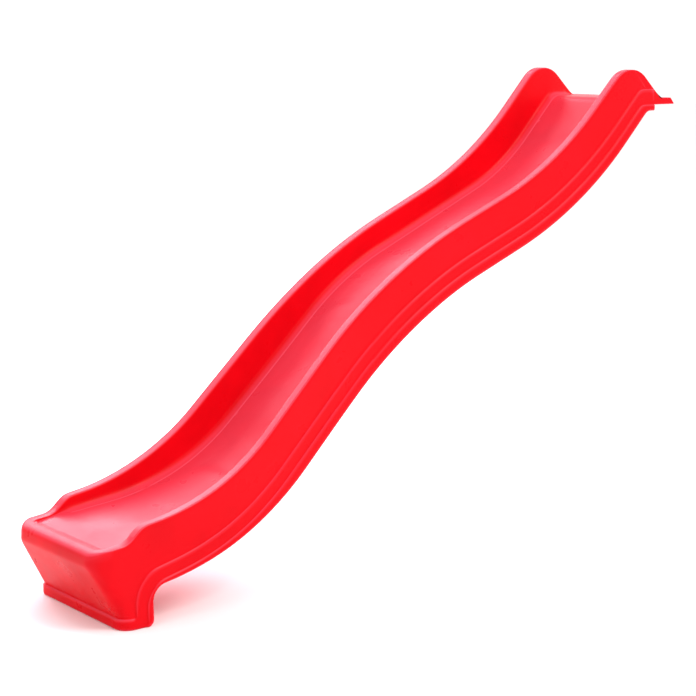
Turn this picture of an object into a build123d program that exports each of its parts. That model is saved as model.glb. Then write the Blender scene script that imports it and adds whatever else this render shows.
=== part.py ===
"""Wave slide for a play tower.

A double-walled moulded chute: an upper skin with the bed, side walls, rims, nose and foot, closed
from below by an under skin. Three recessed screw fixings hold its lip on the platform, and a water
connection feeds the bed.

Millimetres, +Z up. +X runs uphill from the nose to the lip, and the slide is symmetric about Y = 0.
The origin is on the ground, under the middle of the slide's length.
"""

import os
from math import atan2, cos, dist, radians, sin, tan

from build123d import *

# ---------------------------------------------------------------- driving dimensions
PLATFORM_HEIGHT = 1500.0  # ground to the lip's underside
SLIDE_RUN = 2515.0  # nose to the lip's rear edge, measured level
FOOT_HALF_WIDTH = 240.0  # middle to the rim's outer face, at the foot
WAIST_HALF_WIDTH = 213.0  # the same where the chute is narrowest
TOP_HALF_WIDTH = 240.0  # the same at the hump and the lip
WALL = 4.0  # moulded wall thickness
SEAM_GAP = 0.3  # room between the two skins

# ---------------------------------------------------------------- chute section, square to the wave
RIM_WIDTH = 35.0  # top of each side wall
SIDE_DEPTH = 193.0  # rim top to the flange's lower edge
LEDGE_SHARES = (0.580, 0.798)  # rim top to the upper and to the lower ledge, as shares of that
LEDGE_TURNS = (135.0, 173.0)  # nose to where each ledge turns down the foot
LEDGE_START_SHARES = (0.803, 0.979)  # rim's start to each ledge's height at its turn
LEDGE_TURN_RADII = (105.0, 90.0)  # arc of each ledge at its turn
LEDGE_FOOT_SLOPE = 12.0  # degrees, each ledge behind its turn
LEDGE_FOOT_REACH = 0.64  # reach of the arc from there into the steep leg, as a share
LEDGE_ENDS = (56.0, 0.0)  # height of each ledge's upper end above the lip's underside
LEDGE_STEP = 5.0  # how far each ledge stands out
PAN_RISE = 12.0  # flange's lower edge to the under skin's upper face
PAN_RECESS = 5.0  # pan's underside above the flange's lower edge, at its level upper end
FLANGE_END_RADIUS = 40.0

# ---------------------------------------------------------------- plan view
# Shares of the slide's run, from the nose.
NARROWING_START = 0.191  # where the chute starts to narrow
WAIST_START = 0.398  # where it stops narrowing
WAIST_END = 0.588  # where it starts to widen
WIDENING_END = 0.891  # where the full top width is reached
WAIST_RADIUS = 4000.0  # arcs between those stretches

# ---------------------------------------------------------------- foot and nose
FOOT_BACK = 197.0  # nose to the foot's rear face
FOOT_BEND_RADIUS = 52.0  # where the foot's rear edge bends into the chute
NOSE_HEIGHT = 202.0  # ground to the lower edge of the nose's front
NOSE_TOP = 252.0  # ground to the top of the bead round the nose
NOSE_RADIUS = 36.0  # rounding of that bead, in the side view
EDGE_RADIUS = 20.0  # lower edge of the nose, and the bed's front edge
NOSE_OVERHANG = 85.0  # how far the nose stands out past the foot
NOSE_BEAD = 38.0  # width of that bead
NOSE_CORNER = 85.0  # plan radius of the nose
NOSE_CLEAR = 0.5  # how far the plan view starts in front of the nose, so no two faces coincide
FOOT_CORNER = 52.0  # plan radius of the foot
FOOT_LEDGE_HEIGHT = 34.0  # ledge round the foot's base
EXIT_HEIGHT = 244.0  # ground to the bed at the nose
KINK_START = 122.0  # nose to the low end of the rim's kink
KINK_TOP = 176.0  # nose to the high end of the kink
KINK_END = 195.0  # nose to where the wave starts
KINK_RADIUS = 72.0
KINK_LOW = 262.0  # side bead height in front of the kink
RIM_START_HEIGHT = 313.0  # rim height behind the kink

# ---------------------------------------------------------------- hump and lip
LIP_LENGTH = 118.0  # side walls' flange end to the rear edge
LIP_THICKNESS = 24.0
LIP_BEVEL = 20.0  # how far the rear edge slants out
HUMP_HEIGHT = 128.0  # hump top above the lip's underside
HUMP_BACK = 188.0  # rear end of the hump's top to the rear edge
HUMP_RADIUS = 100.0  # both shoulders of the hump
HUMP_RISE_BACK = 299.0  # end of the straight climb to the rear edge
HUMP_RISE_HEIGHT = 106.0  # rim there, above the lip's underside
HUMP_FOOT_BACK = 76.0  # where the rim meets the lip, to the rear edge
FLANGE_END_DROP = 21.0  # flange's lower edge below the lip's underside, at its upper end
LIP_CORNER = 12.0  # plan radius of the lip's rear corners

# ---------------------------------------------------------------- wave
# The rim runs in four straight legs, foot, steep, gentle and upper, with an arc between each two.
# Corners of those legs, as shares of the wave's run and climb, each with how far its arc reaches
# along the shorter leg beside it, as a share of that leg.
WAVE = ((0.140, 0.031, 0.90), (0.473, 0.521, 0.433), (0.851, 0.764, 0.618))
BED_DEPTHS = (46.0, 108.0, 90.0, 122.0)  # rim top to the bed, on each leg
BED_RADII = (760.0, 1130.0, 850.0)  # arcs of the bed between the legs
BED_FOOT_SLOPE = 5.5  # degrees, foot leg of the bed
BED_NOSE_RUN = 112.0  # sloping stretch of the bed behind the nose bead
BED_NOSE_HEIGHT = 262.0  # bed at the end of that stretch
BED_NOSE_RADIUS = 120.0
BED_TOP_RADIUS = 60.0  # where the bed levels out into the lip

# ---------------------------------------------------------------- recesses and fixings in the lip
FIXING_SPACING = 125.0  # screw to screw across the lip
FIXING_BACK = 58.0  # screw axis to the rear edge
CUP_RADIUS = 17.0  # recess round each screw
CUP_DEPTH = 13.0
SCREW_RADIUS = 4.0  # threaded length, below the lip
SHANK_RADIUS = 3.5  # plain shank inside the lip
SHANK_DROP = 1.0  # shank's end below the lip's underside
SCREW_REACH = 50.0  # screw below the lip's underside
SCREW_TIP = 8.0  # length of its pointed end
SCREW_TIP_RADIUS = 0.8
SCREW_HEAD_FLATS = 13.0
SCREW_HEAD_HEIGHT = 5.5
HOLE_GAP = 0.6  # holes in the mouldings, round what passes through them
WASHER_RADIUS = 11.0
WASHER_THICKNESS = 1.6
CAP_WALL = 1.8
CAP_GAP = 0.5  # cap base to the cup's wall
LID_EDGE = 2.2  # thickness of the lid's edge
LID_CROWN = 1.0  # how far the lid's middle stands over its edge
LID_RING = 3.5  # depth of the ring that snaps into the cap base
SNAP_GAP = 0.25

# ---------------------------------------------------------------- water connection
OUTLET_RADIUS = 9.0  # threaded neck through both skins
OUTLET_BORE = 5.0
OUTLET_FLANGE_RADIUS = 16.0
OUTLET_FLANGE = 2.0  # thickness
OUTLET_REACH = 14.0  # neck below the under skin
OUTLET_DISH_GAP = 2.0  # room round the flange in its recess
SEAL_THICKNESS = 2.0
SEAL_BITE = 0.5  # how far the flange's top lies under the bed
NUT_FLATS = 26.0
NUT_THICKNESS = 6.0
THREAD_GAP = 0.1
SOCKET_RADIUS = 7.5  # threaded socket in the neck's lower end
SOCKET_DEPTH = 10.0
TAIL_RADIUS = 6.5  # hose tail
TAIL_LENGTH = 26.0
TAIL_BORE = 4.0
COLLAR_FLATS = 20.0
COLLAR_THICKNESS = 5.0
BARB_HEIGHT = 0.8
BARB_LENGTH = 5.0
BARB_COUNT = 3

# ---------------------------------------------------------------- drain plugs in the foot's rear wall
PLUG_SPACING = 180.0
PLUG_HEIGHT = 40.0  # ground to the plugs' axes
PLUG_RADIUS = 7.0
PLUG_HEAD_RADIUS = 11.0
PLUG_HEAD = 3.0
PLUG_LENGTH = 9.0
PLUG_BORE = 4.5

# ---------------------------------------------------------------- worked-out levels and places
LEDGE_DEPTHS = [share * SIDE_DEPTH for share in LEDGE_SHARES]
LEDGE_STARTS = [RIM_START_HEIGHT - share * SIDE_DEPTH for share in LEDGE_START_SHARES]
PAN_DEPTH = SIDE_DEPTH - PAN_RISE  # rim top to the under skin's upper face
NOSE_X = -SLIDE_RUN / 2
LIP_END_X = SLIDE_RUN / 2
LIP_TOP = PLATFORM_HEIGHT + LIP_THICKNESS
HUMP_TOP = PLATFORM_HEIGHT + HUMP_HEIGHT
FLANGE_END = SLIDE_RUN - LIP_LENGTH  # nose to the flange's upper end
FLANGE_END_LEVEL = PLATFORM_HEIGHT - FLANGE_END_DROP
PAN_END_LEVEL = FLANGE_END_LEVEL + PAN_RECESS  # underside of the pan's level upper end
OPEN = 30.0  # how far the room between the skins is cut out through the open underside
OVER = 60.0  # how far cutting shapes reach past what they cut
HIGH = HUMP_TOP + OVER


def spot(from_nose, height):
    """A point of the side view, by its level distance from the nose and its height."""
    return (NOSE_X + from_nose, height)


def wave_points():
    """The ends and corners of the rim's four legs in the side view."""
    x, z = spot(KINK_END, RIM_START_HEIGHT)
    run = LIP_END_X - HUMP_RISE_BACK - x
    climb = PLATFORM_HEIGHT + HUMP_RISE_HEIGHT - z
    return [(x, z)] + [(x + u * run, z + v * climb) for u, v, _ in WAVE] + [(x + run, z + climb)]


WAVE_POINTS = wave_points()


def leg(number, depth=0.0):
    """A leg of the wave, taken down square to itself: a point on it and its direction."""
    (x0, z0), (x1, z1) = WAVE_POINTS[number : number + 2]
    slope = atan2(z1 - z0, x1 - x0)
    return (x0 + depth * sin(slope), z0 - depth * cos(slope)), slope


def meet(line_a, line_b):
    """The point where two lines of the side view cross."""
    ((xa, za), slope_a), ((xb, zb), slope_b) = line_a, line_b
    along = ((xb - xa) * sin(slope_b) - (zb - za) * cos(slope_b)) / sin(slope_b - slope_a)
    return (xa + along * cos(slope_a), za + along * sin(slope_a))


def arc_radius(reach, turn):
    """Radius of the arc that takes up this length of each line beside a corner."""
    return reach / tan(abs(turn) / 2)


def upright(from_nose):
    """The upright line at a distance from the nose."""
    return spot(from_nose, 0), radians(90)


def level(height):
    """The level line at a height."""
    return spot(0, height), 0.0


def wave_corners(depth):
    """Corners of a line that runs beside the rim, each with its arc's radius."""
    corners = []
    for k, (_, _, share) in enumerate(WAVE):
        before, corner, after = WAVE_POINTS[k : k + 3]
        turn = leg(k + 1)[1] - leg(k)[1]
        radius = arc_radius(share * min(dist(before, corner), dist(corner, after)), turn)
        arc = radius + depth if turn > 0 else radius - depth
        corners.append((*meet(leg(k, depth), leg(k + 1, depth)), arc))
    return corners


def moved_out(corners, amount):
    """A closed outline's corners once each side has moved out square to itself by amount."""
    ahead = corners[1:] + corners[:1]
    slopes = [atan2(z1 - z0, x1 - x0) for (x0, z0, _), (x1, z1, _) in zip(corners, ahead)]
    area = sum(x0 * z1 - x1 * z0 for (x0, z0, _), (x1, z1, _) in zip(corners, ahead))
    out = amount if area > 0 else -amount
    moved = []
    for k, (x, z, radius) in enumerate(corners):
        before, after = slopes[k - 1], slopes[k]
        line_before = (x + out * sin(before), z - out * cos(before)), before
        line_after = (x + out * sin(after), z - out * cos(after)), after
        bulges = (sin(after - before) > 0) == (area > 0)
        arc = radius + amount if bulges else radius - amount
        moved.append((*meet(line_before, line_after), arc if radius else 0.0))
    return moved


def outline(corners, grow=0.0, plane=Plane.XZ):
    """The closed outline with these corners, each with its arc's radius, grown on all sides."""
    corners = moved_out(corners, grow) if grow else corners
    with BuildSketch(plane) as sketch:
        with BuildLine():
            points = [(u, v) for u, v, _ in corners]
            FilletPolyline(*points, radius=[radius for _, _, radius in corners], close=True)
        make_face()
    return sketch.sketch


# ---------------------------------------------------------------- side views
def sharp(point):
    """A corner without an arc."""
    return (*point, 0.0)


def lower_edge(deeper):
    """Corners of the lower edge, from the lip down to the sole; deeper moves it out."""
    depth = SIDE_DEPTH + deeper
    end_level = FLANGE_END_LEVEL - deeper
    foot_back = FOOT_BACK + deeper
    bend = 0.0 if deeper else FOOT_BEND_RADIUS
    return [
        sharp(spot(FLANGE_END + deeper, end_level)),
        (*meet(leg(3, depth), level(end_level)), FLANGE_END_RADIUS),
        *reversed(wave_corners(depth)),
        (*meet(leg(0, depth), upright(foot_back)), bend),
        sharp(spot(foot_back, -deeper)),
    ]


def body_side(deeper=0.0, inset=0.0):
    """Side view of the whole slide, filled."""
    corners = [
        sharp(spot(NOSE_OVERHANG, -deeper)),
        sharp(spot(NOSE_OVERHANG, FOOT_LEDGE_HEIGHT)),
        (*spot(0, NOSE_HEIGHT), EDGE_RADIUS),
        (*spot(0, NOSE_TOP), NOSE_RADIUS),
        (*spot(KINK_START, KINK_LOW), KINK_RADIUS),
        (*meet(leg(0), upright(KINK_TOP)), KINK_RADIUS),
        *wave_corners(0.0),
        (*meet(leg(3), level(HUMP_TOP)), HUMP_RADIUS),
        (LIP_END_X - HUMP_BACK, HUMP_TOP, HUMP_RADIUS),
        sharp((LIP_END_X - HUMP_FOOT_BACK, LIP_TOP)),
        sharp((LIP_END_X - LIP_BEVEL, LIP_TOP)),
        sharp((LIP_END_X, PLATFORM_HEIGHT - deeper)),
        sharp(spot(FLANGE_END + deeper, PLATFORM_HEIGHT - deeper)),
        *lower_edge(deeper),
    ]
    return outline(corners, -inset)


def band_side(number, deeper=0.0, inset=0.0):
    """Side view of the wall below a ledge, which turns down the back of the foot."""
    depth, turn = LEDGE_DEPTHS[number], LEDGE_TURNS[number]
    end_level = PLATFORM_HEIGHT + LEDGE_ENDS[number]
    foot_leg = (spot(turn, LEDGE_STARTS[number]), radians(LEDGE_FOOT_SLOPE))
    steep, gentle = wave_corners(depth)[1:]
    bend = meet(foot_leg, leg(1, depth))
    reach = LEDGE_FOOT_REACH * dist(foot_leg[0], bend)
    corners = [
        sharp(spot(turn, -deeper)),
        (*spot(turn, LEDGE_STARTS[number]), LEDGE_TURN_RADII[number]),
        (*bend, arc_radius(reach, leg(1)[1] - foot_leg[1])),
        steep,
        gentle,
        (*meet(leg(3, depth), level(end_level)), FLANGE_END_RADIUS),
        sharp(spot(FLANGE_END + deeper, end_level)),
        *lower_edge(deeper),
    ]
    return outline(corners, -inset)


def trough_side(grow=0.0):
    """Side view of the space over the bed; grow takes it down into the bed's thickness."""
    nose_end = spot(NOSE_BEAD + BED_NOSE_RUN, BED_NOSE_HEIGHT)
    legs = [(nose_end, radians(BED_FOOT_SLOPE))]
    legs += [leg(k, BED_DEPTHS[k]) for k in (1, 2, 3)]
    corners = [
        sharp(spot(-OVER, HIGH)),
        sharp(spot(-OVER, EXIT_HEIGHT)),
        (*spot(NOSE_BEAD, EXIT_HEIGHT), EDGE_RADIUS),
        (*nose_end, BED_NOSE_RADIUS),
        *[(*meet(legs[k], legs[k + 1]), BED_RADII[k]) for k in range(3)],
        (*meet(legs[3], level(LIP_TOP)), BED_TOP_RADIUS),
        sharp((LIP_END_X + OVER, LIP_TOP)),
        sharp((LIP_END_X + OVER, HIGH)),
    ]
    return outline(corners, grow)


# ---------------------------------------------------------------- plan views
def plan_corners(inside, front, corner):
    """Corners of the chute's plan, its sides and nose moved in, each with its arc's radius."""
    foot, waist, top = (w - inside for w in (FOOT_HALF_WIDTH, WAIST_HALF_WIDTH, TOP_HALF_WIDTH))
    half = [
        (NOSE_X + front, foot, corner),
        (NOSE_X + NARROWING_START * SLIDE_RUN, foot, WAIST_RADIUS),
        (NOSE_X + WAIST_START * SLIDE_RUN, waist, WAIST_RADIUS),
        (NOSE_X + WAIST_END * SLIDE_RUN, waist, WAIST_RADIUS),
        (NOSE_X + WIDENING_END * SLIDE_RUN, top, WAIST_RADIUS),
        (LIP_END_X, top, LIP_CORNER),
    ]
    return half + [(x, -y, radius) for x, y, radius in reversed(half)]


def plan_view(grow=0.0):
    """Plan view of the chute over the rims."""
    return outline(plan_corners(0.0, -NOSE_CLEAR, NOSE_CORNER), grow, Plane.XY)


def trough_plan(grow):
    """Plan view of the space between the side walls; grow moves it into the walls."""
    return outline(plan_corners(RIM_WIDTH, NOSE_BEAD, NOSE_CORNER - NOSE_BEAD), grow, Plane.XY)


# ---------------------------------------------------------------- filled bodies
def envelope(grow):
    """Everything inside the foot's and the nose's rounded plan, and all that stands behind them."""
    behind = NOSE_CORNER + FOOT_CORNER
    foot = FOOT_HALF_WIDTH + 2 * LEDGE_STEP + grow
    with BuildPart() as room:
        for low, high, front, corner in (
            (-OVER, FOOT_LEDGE_HEIGHT, NOSE_OVERHANG, FOOT_CORNER),
            (NOSE_HEIGHT, HIGH, -2 * NOSE_CLEAR, NOSE_CORNER),
        ):
            with BuildSketch(Plane.XY.offset(low)):
                add(foot_plan(front - grow, foot, corner + grow))
            extrude(amount=high - low)
        with BuildSketch(Plane.XY.offset(FOOT_LEDGE_HEIGHT)):
            add(foot_plan(NOSE_OVERHANG - grow, foot, FOOT_CORNER + grow))
        with BuildSketch(Plane.XY.offset(NOSE_HEIGHT)):
            add(foot_plan(-2 * NOSE_CLEAR - grow, foot, NOSE_CORNER + grow))
        loft(ruled=True)
        with BuildSketch(Plane.XY.offset(-OVER)):
            with Locations((NOSE_X + behind + SLIDE_RUN / 2, 0)):
                Rectangle(SLIDE_RUN, 4 * TOP_HALF_WIDTH)
        extrude(amount=HIGH + OVER)
    return room.part


def foot_plan(front, half_width, corner):
    """Plan of the foot at one height, long enough to run on into the chute."""
    length = NOSE_CORNER + FOOT_CORNER + OVER
    with BuildSketch() as plan:
        with Locations((NOSE_X + (front + length) / 2, 0)):
            Rectangle(length - front, 2 * half_width)
        fillet(plan.vertices().group_by(Axis.X)[0], corner)
    return plan.sketch


def filled(side, plan):
    """The solid that has both a side view and a plan view."""
    with BuildPart() as solid:
        with BuildSketch(Plane.XZ):
            add(side)
        extrude(amount=2 * TOP_HALF_WIDTH, both=True)
        with BuildSketch(Plane.XY.offset(-OVER)):
            add(plan)
        extrude(amount=HIGH + 2 * OVER, mode=Mode.INTERSECT)
    return solid.part


def filled_slide(deeper=0.0, inset=0.0):
    """The slide as one filled body with its two ledges, shrunk by inset all round."""
    with BuildPart() as solid:
        add(filled(body_side(deeper, inset), plan_view(-inset)))
        for level in (0, 1):
            grow = LEDGE_STEP * (level + 1) - inset
            add(filled(band_side(level, deeper, inset), plan_view(grow)))
        add(envelope(-inset), mode=Mode.INTERSECT)
    return solid.part


def trough(grow=0.0):
    """The space over the bed, between the side walls."""
    return filled(trough_side(grow), trough_plan(grow))


def under_side():
    """Side view of the under skin before it is hollowed: sole, rear wall, pan, flanges and lip plate."""
    wall_front = upright(FOOT_BACK - WALL)
    corners = [
        sharp(spot(0, 0)),
        sharp(spot(0, WALL)),
        sharp(spot(FOOT_BACK - WALL, WALL)),
        sharp(meet(leg(0, PAN_DEPTH), wall_front)),
        *wave_corners(PAN_DEPTH),
        sharp(meet(leg(3, PAN_DEPTH), level(PAN_END_LEVEL + WALL))),
        sharp(spot(FLANGE_END - WALL, PAN_END_LEVEL + WALL)),
        sharp(spot(FLANGE_END - WALL, PLATFORM_HEIGHT + WALL)),
        sharp((LIP_END_X, PLATFORM_HEIGHT + WALL)),
        sharp((LIP_END_X, PLATFORM_HEIGHT)),
        sharp(spot(FLANGE_END, PLATFORM_HEIGHT)),
        *lower_edge(0),
    ]
    return outline(corners)


def pan_side():
    """Side view of the open room under the pan, between its flanges."""
    depth = PAN_DEPTH + WALL
    low = FLANGE_END_LEVEL - OPEN
    corners = [
        sharp(spot(FOOT_BACK, 0)),
        sharp(meet(leg(0, depth), upright(FOOT_BACK))),
        *wave_corners(depth),
        sharp(meet(leg(3, depth), level(PAN_END_LEVEL))),
        sharp(spot(FLANGE_END - WALL, PAN_END_LEVEL)),
        sharp(spot(FLANGE_END - WALL, low)),
        sharp(meet(leg(3, SIDE_DEPTH + OPEN), level(low))),
        *reversed(wave_corners(SIDE_DEPTH + OPEN)),
        sharp(meet(leg(0, SIDE_DEPTH + OPEN), upright(FOOT_BACK + OPEN))),
        sharp(spot(FOOT_BACK + OPEN, 0)),
    ]
    return outline(corners)


# ---------------------------------------------------------------- places of the small parts
FIXING_X = LIP_END_X - FIXING_BACK
FIXINGS = {"left": FIXING_SPACING, "centre": 0.0, "right": -FIXING_SPACING}
FIXING_SPOTS = [(FIXING_X, y) for y in FIXINGS.values()]
CUP_FLOOR = LIP_TOP - CUP_DEPTH
PAN_BEND_X = meet(leg(3, PAN_DEPTH + WALL), level(PAN_END_LEVEL))[0]
WATER_SPOT = ((PAN_BEND_X + NOSE_X + FLANGE_END - WALL) / 2, 0)  # over the middle of the pan's level end
DISH_RADIUS = OUTLET_FLANGE_RADIUS + OUTLET_DISH_GAP
DISH_FLOOR = LIP_TOP - SEAL_BITE - OUTLET_FLANGE - SEAL_THICKNESS
PLUG_X = NOSE_X + FOOT_BACK
PLUG_SPOTS = {"left": PLUG_SPACING / 2, "right": -PLUG_SPACING / 2}


def disc(radius, low, high, mode=Mode.ADD, at=((0, 0),)):
    """Upright cylinders between two heights, inside a part block."""
    with BuildSketch(Plane.XY.offset(low)) as foot_print:
        with Locations(*at):
            Circle(radius)
    extrude(foot_print.sketch, amount=high - low, mode=mode)


# ---------------------------------------------------------------- upper skin
room_between = filled_slide(OPEN, WALL)

with BuildPart() as chute_top_skin:
    add(filled_slide())
    add(trough(), mode=Mode.SUBTRACT)
    add(room_between - trough(WALL), mode=Mode.SUBTRACT)
    disc(CUP_RADIUS + WALL, CUP_FLOOR - WALL, LIP_TOP, at=FIXING_SPOTS)
    disc(CUP_RADIUS, CUP_FLOOR, LIP_TOP, Mode.SUBTRACT, FIXING_SPOTS)
    disc(SCREW_RADIUS + HOLE_GAP, CUP_FLOOR - WALL, CUP_FLOOR, Mode.SUBTRACT, FIXING_SPOTS)
    disc(DISH_RADIUS + WALL, DISH_FLOOR - WALL, LIP_TOP, at=[WATER_SPOT])
    disc(DISH_RADIUS, DISH_FLOOR, LIP_TOP, Mode.SUBTRACT, [WATER_SPOT])
    disc(OUTLET_RADIUS + HOLE_GAP, DISH_FLOOR - WALL, DISH_FLOOR, Mode.SUBTRACT, [WATER_SPOT])

# ---------------------------------------------------------------- under skin
BOSS_TOP = CUP_FLOOR - WALL - SEAM_GAP
under_room = filled_slide(OPEN, WALL + SEAM_GAP)
pan_room = filled_slide(OPEN, 2 * WALL + SEAM_GAP)

with BuildPart() as chute_under_skin:
    add(filled(under_side(), plan_view(OVER)))
    add(under_room, mode=Mode.INTERSECT)
    add(filled(pan_side(), plan_view(OVER)) & pan_room, mode=Mode.SUBTRACT)
    disc(CUP_RADIUS, PLATFORM_HEIGHT, BOSS_TOP, at=FIXING_SPOTS)
    disc(SCREW_RADIUS + HOLE_GAP, PLATFORM_HEIGHT, BOSS_TOP, Mode.SUBTRACT, FIXING_SPOTS)
    disc(OUTLET_RADIUS + HOLE_GAP, PAN_END_LEVEL, PAN_END_LEVEL + WALL, Mode.SUBTRACT, [WATER_SPOT])
    with BuildSketch(Plane.YZ.offset(PLUG_X - WALL)):
        with Locations(*[(y, PLUG_HEIGHT) for y in PLUG_SPOTS.values()]):
            Circle(PLUG_RADIUS + SEAM_GAP)
    extrude(amount=WALL, mode=Mode.SUBTRACT)


# ---------------------------------------------------------------- screw fixings in the lip
CAP_RADIUS = CUP_RADIUS - CAP_GAP
CAP_INNER = CAP_RADIUS - CAP_WALL
CAP_FLOOR_TOP = CUP_FLOOR + CAP_WALL
WASHER_TOP = CAP_FLOOR_TOP + WASHER_THICKNESS
LID_TOP = LIP_TOP - LID_CROWN
LID_BOTTOM = LID_TOP - LID_EDGE
LID_RING_RADIUS = CAP_INNER - SNAP_GAP
SCREW_END = PLATFORM_HEIGHT - SCREW_REACH
THREAD_TOP = PLATFORM_HEIGHT - SHANK_DROP

pieces = [(chute_top_skin, "chute_top_skin"), (chute_under_skin, "chute_under_skin")]

for side, y in FIXINGS.items():
    centre = [(FIXING_X, y)]

    with BuildPart() as cap_base:
        disc(CAP_RADIUS, CUP_FLOOR, LID_BOTTOM, at=centre)
        disc(CAP_INNER, CAP_FLOOR_TOP, LID_BOTTOM, Mode.SUBTRACT, centre)
        disc(SCREW_RADIUS + HOLE_GAP, CUP_FLOOR, CAP_FLOOR_TOP, Mode.SUBTRACT, centre)

    with BuildPart() as washer:
        disc(WASHER_RADIUS, CAP_FLOOR_TOP, WASHER_TOP, at=centre)
        disc(SCREW_RADIUS + HOLE_GAP, CAP_FLOOR_TOP, WASHER_TOP, Mode.SUBTRACT, centre)
        chamfer(washer.edges().group_by(Axis.Z)[-1].sort_by(SortBy.RADIUS)[-1], WASHER_THICKNESS / 4)

    with BuildPart() as screw:
        with BuildSketch(Plane.XY.offset(WASHER_TOP)):
            with Locations(*centre):
                RegularPolygon(SCREW_HEAD_FLATS / 2, 6, major_radius=False)
        extrude(amount=SCREW_HEAD_HEIGHT)
        chamfer(screw.edges().group_by(Axis.Z)[-1], SCREW_HEAD_HEIGHT / 8)
        disc(SHANK_RADIUS, THREAD_TOP, WASHER_TOP, at=centre)
        disc(SCREW_RADIUS, SCREW_END + SCREW_TIP, THREAD_TOP, at=centre)
        with BuildSketch(Plane.XY.offset(SCREW_END)):
            with Locations(*centre):
                Circle(SCREW_TIP_RADIUS)
        with BuildSketch(Plane.XY.offset(SCREW_END + SCREW_TIP)):
            with Locations(*centre):
                Circle(SCREW_RADIUS)
        loft()

    with BuildPart() as cap_lid:
        with BuildSketch(Plane.XZ.offset(-y)):
            with BuildLine():
                Polyline(
                    (FIXING_X, LID_BOTTOM),
                    (FIXING_X + LID_RING_RADIUS - CAP_WALL, LID_BOTTOM),
                    (FIXING_X + LID_RING_RADIUS - CAP_WALL, LID_BOTTOM - LID_RING),
                    (FIXING_X + LID_RING_RADIUS, LID_BOTTOM - LID_RING),
                    (FIXING_X + LID_RING_RADIUS, LID_BOTTOM),
                    (FIXING_X + CAP_RADIUS, LID_BOTTOM),
                    (FIXING_X + CAP_RADIUS, LID_TOP),
                    (FIXING_X + CAP_RADIUS / 2, LIP_TOP),
                    (FIXING_X, LIP_TOP),
                    close=True,
                )
            make_face()
        revolve(axis=Axis((FIXING_X, y, 0), (0, 0, 1)))

    pieces += [
        (cap_base, f"cap_base_{side}"),
        (washer, f"lip_washer_{side}"),
        (screw, f"lip_screw_{side}"),
        (cap_lid, f"cap_lid_{side}"),
    ]

# ---------------------------------------------------------------- water connection
SEAL_TOP = DISH_FLOOR + SEAL_THICKNESS
NECK_END = PAN_END_LEVEL - OUTLET_REACH
COLLAR_LOW = NECK_END - COLLAR_THICKNESS
TAIL_END = COLLAR_LOW - TAIL_LENGTH

with BuildPart() as water_outlet:
    disc(OUTLET_FLANGE_RADIUS, SEAL_TOP, SEAL_TOP + OUTLET_FLANGE, at=[WATER_SPOT])
    fillet(water_outlet.edges().group_by(Axis.Z)[-1], OUTLET_FLANGE / 3)
    disc(OUTLET_RADIUS, NECK_END, SEAL_TOP, at=[WATER_SPOT])
    disc(OUTLET_BORE, NECK_END, SEAL_TOP + OUTLET_FLANGE, Mode.SUBTRACT, [WATER_SPOT])
    disc(SOCKET_RADIUS, NECK_END, NECK_END + SOCKET_DEPTH, Mode.SUBTRACT, [WATER_SPOT])

with BuildPart() as water_seal:
    disc(OUTLET_FLANGE_RADIUS, DISH_FLOOR, SEAL_TOP, at=[WATER_SPOT])
    disc(OUTLET_RADIUS + THREAD_GAP, DISH_FLOOR, SEAL_TOP, Mode.SUBTRACT, [WATER_SPOT])

with BuildPart() as water_nut:
    with BuildSketch(Plane.XY.offset(PAN_END_LEVEL - NUT_THICKNESS)):
        with Locations(WATER_SPOT):
            RegularPolygon(NUT_FLATS / 2, 6, major_radius=False)
            Circle(OUTLET_RADIUS + THREAD_GAP, mode=Mode.SUBTRACT)
    extrude(amount=NUT_THICKNESS)

with BuildPart() as hose_tail:
    disc(SOCKET_RADIUS - THREAD_GAP, NECK_END, NECK_END + SOCKET_DEPTH - 1, at=[WATER_SPOT])
    with BuildSketch(Plane.XY.offset(COLLAR_LOW)):
        with Locations(WATER_SPOT):
            RegularPolygon(COLLAR_FLATS / 2, 6, major_radius=False)
    extrude(amount=COLLAR_THICKNESS)
    disc(TAIL_RADIUS, TAIL_END, COLLAR_LOW, at=[WATER_SPOT])
    for k in range(BARB_COUNT):
        barb_low = TAIL_END + k * BARB_LENGTH
        for height, radius in ((barb_low, TAIL_RADIUS), (barb_low + BARB_LENGTH * 0.9, TAIL_RADIUS + BARB_HEIGHT)):
            with BuildSketch(Plane.XY.offset(height)):
                with Locations(WATER_SPOT):
                    Circle(radius)
        loft()
    disc(TAIL_BORE, TAIL_END, NECK_END + SOCKET_DEPTH, Mode.SUBTRACT, [WATER_SPOT])

pieces += [
    (water_outlet, "water_outlet"),
    (water_seal, "water_seal"),
    (water_nut, "water_nut"),
    (hose_tail, "hose_tail"),
]

# ---------------------------------------------------------------- drain plugs
for side, y in PLUG_SPOTS.items():
    with BuildPart() as drain_plug:
        with BuildSketch(Plane.YZ.offset(PLUG_X)):
            with Locations((y, PLUG_HEIGHT)):
                Circle(PLUG_HEAD_RADIUS)
        extrude(amount=PLUG_HEAD)
        fillet(drain_plug.edges().group_by(Axis.X)[-1], PLUG_HEAD / 3)
        with BuildSketch(Plane.YZ.offset(PLUG_X - PLUG_LENGTH)):
            with Locations((y, PLUG_HEIGHT)):
                Circle(PLUG_RADIUS)
        extrude(amount=PLUG_LENGTH)
        with BuildSketch(Plane.YZ.offset(PLUG_X - PLUG_LENGTH)):
            with Locations((y, PLUG_HEIGHT)):
                Circle(PLUG_BORE)
        extrude(amount=PLUG_LENGTH, mode=Mode.SUBTRACT)
    pieces.append((drain_plug, f"drain_plug_{side}"))

# ---------------------------------------------------------------- write one file per piece
os.makedirs("parts", exist_ok=True)
for piece, name in pieces:
    piece.part.label = name
    export_step(piece.part, f"parts/{name}.step")
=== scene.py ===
"""Wave slide: the moulded chute, its lip fixings, water connection, drain plugs and a studio stage.

The chute is laid out in millimetres, by level distance from the nose and height over the ground,
and brought into the frame's metres at the end.
"""

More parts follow.
